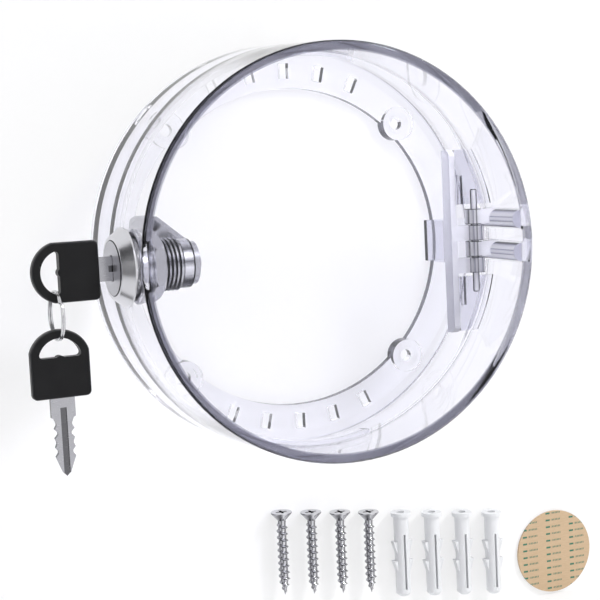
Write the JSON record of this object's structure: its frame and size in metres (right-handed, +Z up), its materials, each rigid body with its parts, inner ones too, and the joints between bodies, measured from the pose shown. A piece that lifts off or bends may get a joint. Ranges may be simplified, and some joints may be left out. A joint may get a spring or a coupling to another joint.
{
  "type": "thermostat lock box",
  "caption": "Round clear wall guard with a hinged cup-shaped cover, a cam lock in its side wall, keys on a split ring and loose mounting hardware.",
  "frame": {"origin": "centre of the wall face, on the axis of the round box", "axes": "+Z up, +Y into the wall so the cover faces -Y, hinge on +X and lock on -X"},
  "size_m": [0.2454, 0.06, 0.2364],
  "materials": {
    "clear_shell": "polished clear polycarbonate",
    "clear_hinge": "polished clear polycarbonate",
    "lock_metal": "satin chrome",
    "steel": "bright steel",
    "seal_rubber": "black rubber",
    "key_plastic": "fine-grained black moulding",
    "key_steel": "nickel-plated",
    "wafer_brass": "stamped",
    "screw_zinc": "zinc-plated",
    "anchor_plastic": "translucent white nylon",
    "disc_paper": "tan release paper"
  },
  "bodies": {
    "base": {"base_ring": "clear_shell", "base_hinge_strip": "clear_hinge", "hinge_pin": "steel", "mounting_screws": "screw_zinc", "wall_anchors": "anchor_plastic", "adhesive_disc": "disc_paper"},
    "cover": {"cover": "clear_shell", "cover_hinge_arm_1": "clear_hinge", "cover_hinge_arm_2": "clear_hinge", "lock_housing": "lock_metal", "lock_gasket": "seal_rubber", "lock_nut": "lock_metal"},
    "plug": {"lock_plug": "lock_metal", "cam": "lock_metal", "cam_washer": "steel", "cam_screw": "steel", "wafer_1": "wafer_brass", "wafer_2": "wafer_brass", "wafer_3": "wafer_brass", "wafer_4": "wafer_brass", "wafer_5": "wafer_brass"},
    "key": {"key_head": "key_plastic", "key_blade": "key_steel"},
    "ring": {"split_ring": "steel"},
    "spare_key": {"spare_key_head": "key_plastic", "spare_key_blade": "key_steel"}
  },
  "joints": [
    {"name": "cover_hinge", "type": "hinge", "parent": "base", "child": "cover", "pos_m": [0.063, -0.0354, 0], "axis": [0, 0, 1], "range_deg": [0, 75]},
    {"name": "key_turn", "type": "hinge", "parent": "cover", "child": "plug", "pos_m": [-0.07613, -0.043, 0], "axis": [0.9978, 0.0665, 0], "range_deg": [-33, 57]},
    {"name": "key_slide", "type": "slide", "parent": "plug", "child": "key", "axis": [-0.9978, -0.0665, 0], "range_m": [0, 0.032]},
    {"name": "ring_swing", "type": "hinge", "parent": "key", "child": "ring", "pos_m": [-0.10193, -0.04472, -0.00625], "axis": [-0.0665, 0.9978, 0], "range_deg": [-15, 15]},
    {"name": "spare_key_swing", "type": "hinge", "parent": "ring", "child": "spare_key", "pos_m": [-0.10193, -0.04472, -0.02285], "axis": [-0.0665, 0.9978, 0], "range_deg": [-15, 15]}
  ]
}
